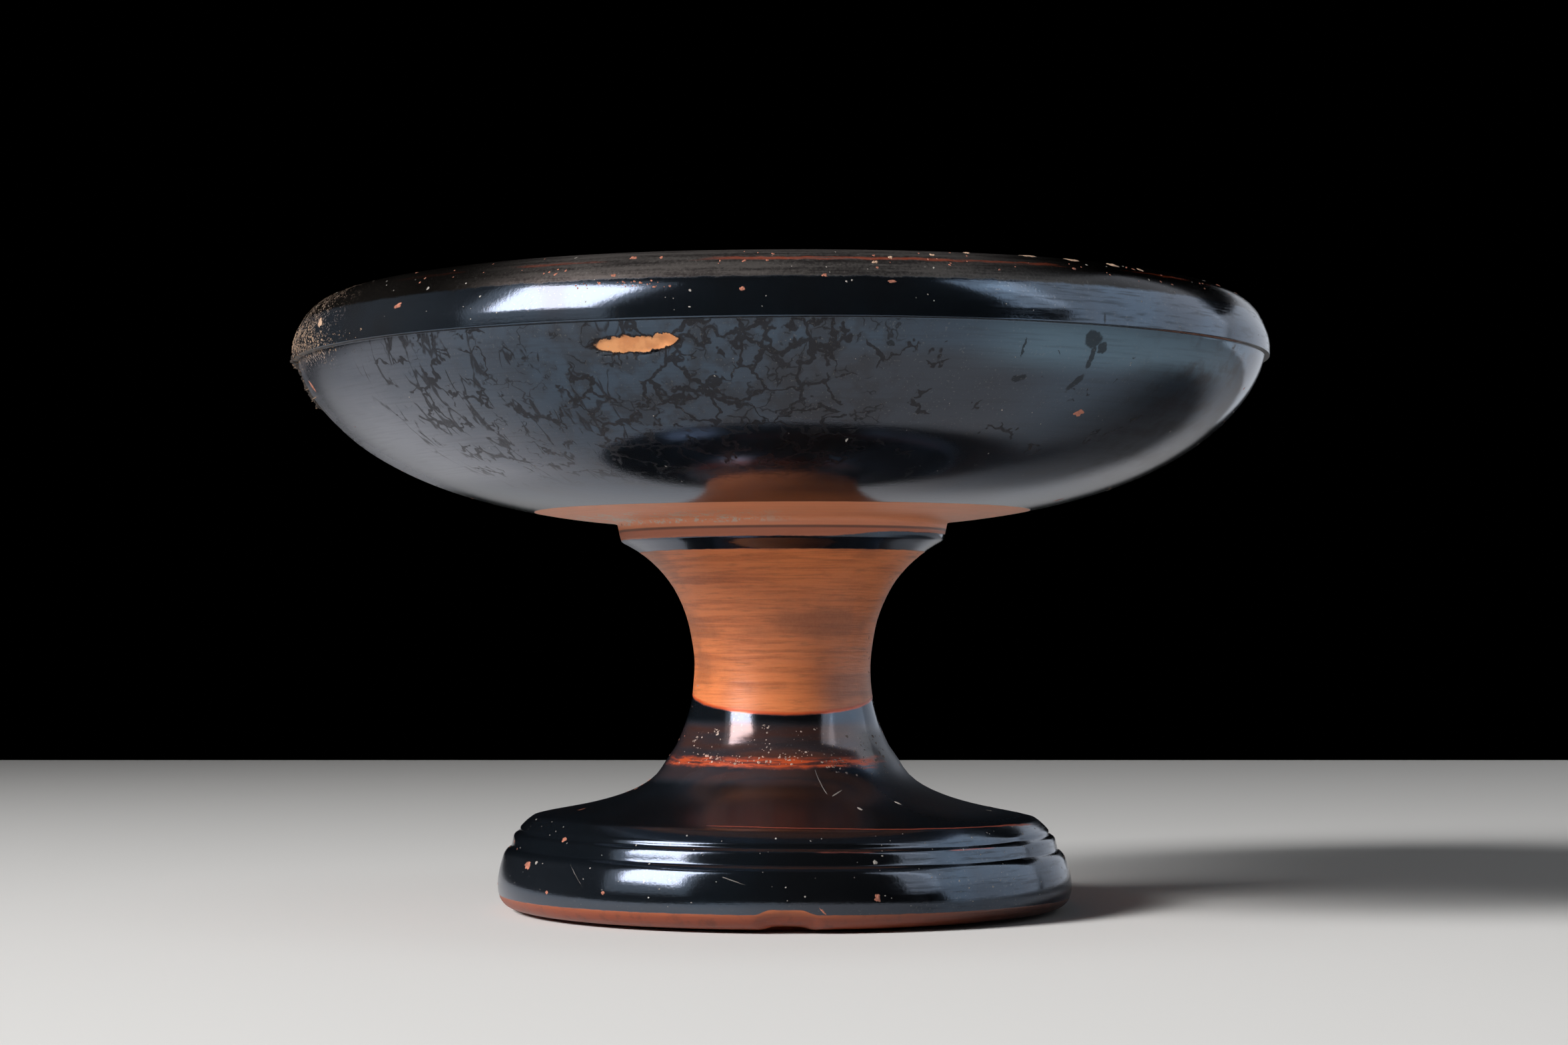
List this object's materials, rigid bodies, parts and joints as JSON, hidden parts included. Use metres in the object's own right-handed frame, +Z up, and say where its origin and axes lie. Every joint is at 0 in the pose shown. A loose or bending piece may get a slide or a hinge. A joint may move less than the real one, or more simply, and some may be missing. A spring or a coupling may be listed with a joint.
{
  "type": "stemmed kylix-type drinking cup without handles",
  "caption": "Black-gloss stemmed cup of fired clay: a wide shallow bowl with a rolled lip on a waisted stem and a hollow disc foot, for holding drink or standing on a surface.",
  "frame": {"origin": "on the vessel's axis at the level it rests on", "axes": "+Z up along the vessel's axis, -Y towards the front, where a flake is lost from the bowl, +X to the right seen from the front"},
  "size_m": [0.1816, 0.1816, 0.1136],
  "materials": {
    "black_gloss": "satin",
    "dried_earth": "matte"
  },
  "bodies": {
    "root": {"cup": "black_gloss"}
  },
  "joints": []
}
